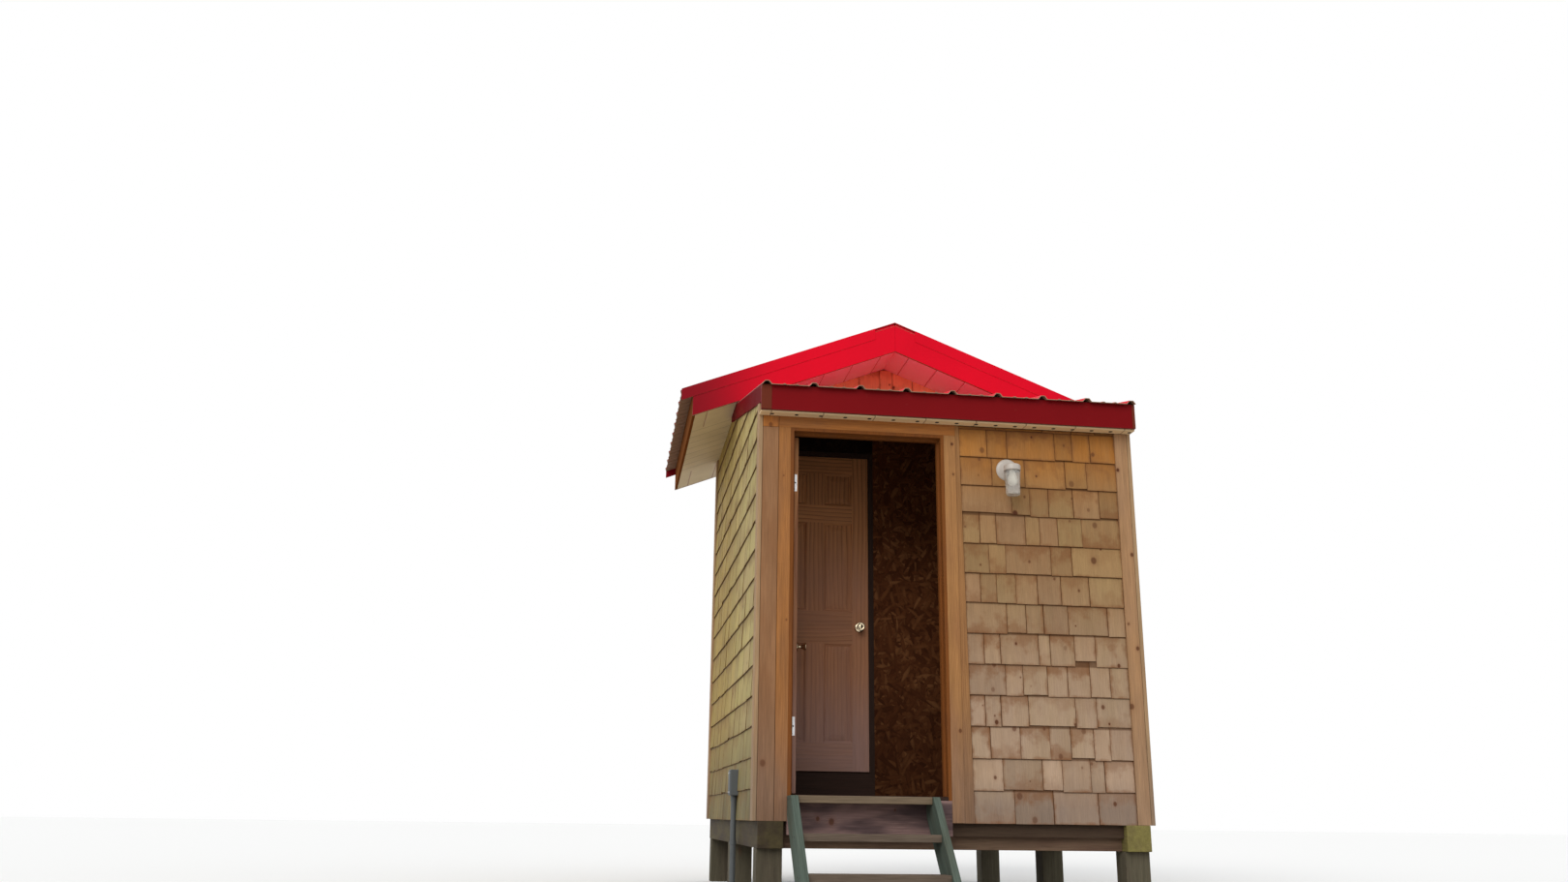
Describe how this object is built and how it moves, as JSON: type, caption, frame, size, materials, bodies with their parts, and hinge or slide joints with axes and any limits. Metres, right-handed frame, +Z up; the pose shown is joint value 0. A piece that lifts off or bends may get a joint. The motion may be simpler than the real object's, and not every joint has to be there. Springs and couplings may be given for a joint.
{
  "type": "wooden outhouse",
  "caption": "Shingled wooden hut with a gable roof behind a lean-to roof, panelled entry doors, a wall light and open wooden steps.",
  "frame": {"origin": "middle of the overall plan, on the ground under the posts and the steps", "axes": "+X to the right as seen from the front, +Y from the front to the back, +Z up"},
  "size_m": [3.05, 4.2202, 3.895],
  "materials": {
    "treated_timber": "weathered green treated softwood",
    "weathered_board": "weathered bare softwood",
    "framing_lumber": "sawn softwood",
    "floor_board": "worn bare boards",
    "dark_board": "dark stained board",
    "shingle_front": "sawn cedar shingles in courses",
    "shingle_side": "sawn cedar shingles in courses",
    "chipboard": "oriented strand board",
    "cedar_trim": "rough sawn cedar boards",
    "pine": "clear finished pine",
    "knob_brass": "polished",
    "zinc": "zinc plated",
    "red_metal": "factory painted, semi-gloss",
    "dark_red_metal": "factory painted, semi-gloss",
    "cream_soffit": "painted sheet, satin",
    "white_fitting": "white, gloss",
    "jar_glass": "clear glass",
    "grey_plastic": "grey, matte"
  },
  "bodies": {
    "building": {"posts": "treated_timber", "skids": "treated_timber", "cross_boards": "weathered_board", "floor_joists": "framing_lumber", "floor": "floor_board", "door_apron": "weathered_board", "threshold": "dark_board", "front_wall_left": "shingle_front", "front_wall_right": "shingle_front", "front_wall_header": "shingle_front", "left_wall": "shingle_side", "right_wall": "shingle_side", "back_wall": "shingle_side", "gable_wall": "shingle_front", "partition": "chipboard", "partition_header": "chipboard", "partition_sill": "dark_board", "rear_floor": "floor_board", "outer_frame": "cedar_trim", "inner_frame": "pine", "casing_sides": "cedar_trim", "casing_head": "cedar_trim", "corner_boards": "cedar_trim", "frame_hinges": "zinc", "shed_deck": "framing_lumber", "shed_roofing": "red_metal", "shed_fascia": "dark_red_metal", "shed_side_trims": "dark_red_metal", "shed_soffit": "cream_soffit", "main_deck": "framing_lumber", "main_roofing": "red_metal", "ridge_cap": "red_metal", "rake_boards": "red_metal", "gable_trims": "red_metal", "eave_fascias": "dark_red_metal", "eave_soffits": "cream_soffit", "gable_soffits": "cream_soffit", "wall_light": "white_fitting", "light_jar": "jar_glass", "service_box": "grey_plastic", "stringers": "treated_timber", "treads": "weathered_board"},
    "front_door": {"outer_door": "pine", "outer_door_knobs": "knob_brass", "outer_door_hinges": "zinc"},
    "rear_door": {"inner_door": "pine", "inner_door_knobs": "knob_brass", "inner_door_hinges": "zinc"}
  },
  "joints": [
    {"name": "front_door_hinge", "type": "hinge", "parent": "building", "child": "front_door", "pos_m": [-0.9205, -1.284, 1.603], "axis": [0, 0, 1], "range_deg": [-81.5, 8.5]},
    {"name": "rear_door_hinge", "type": "hinge", "parent": "building", "child": "rear_door", "pos_m": [-0.9865, -0.34, 1.753], "axis": [0, 0, 1], "range_deg": [0, 85]}
  ]
}
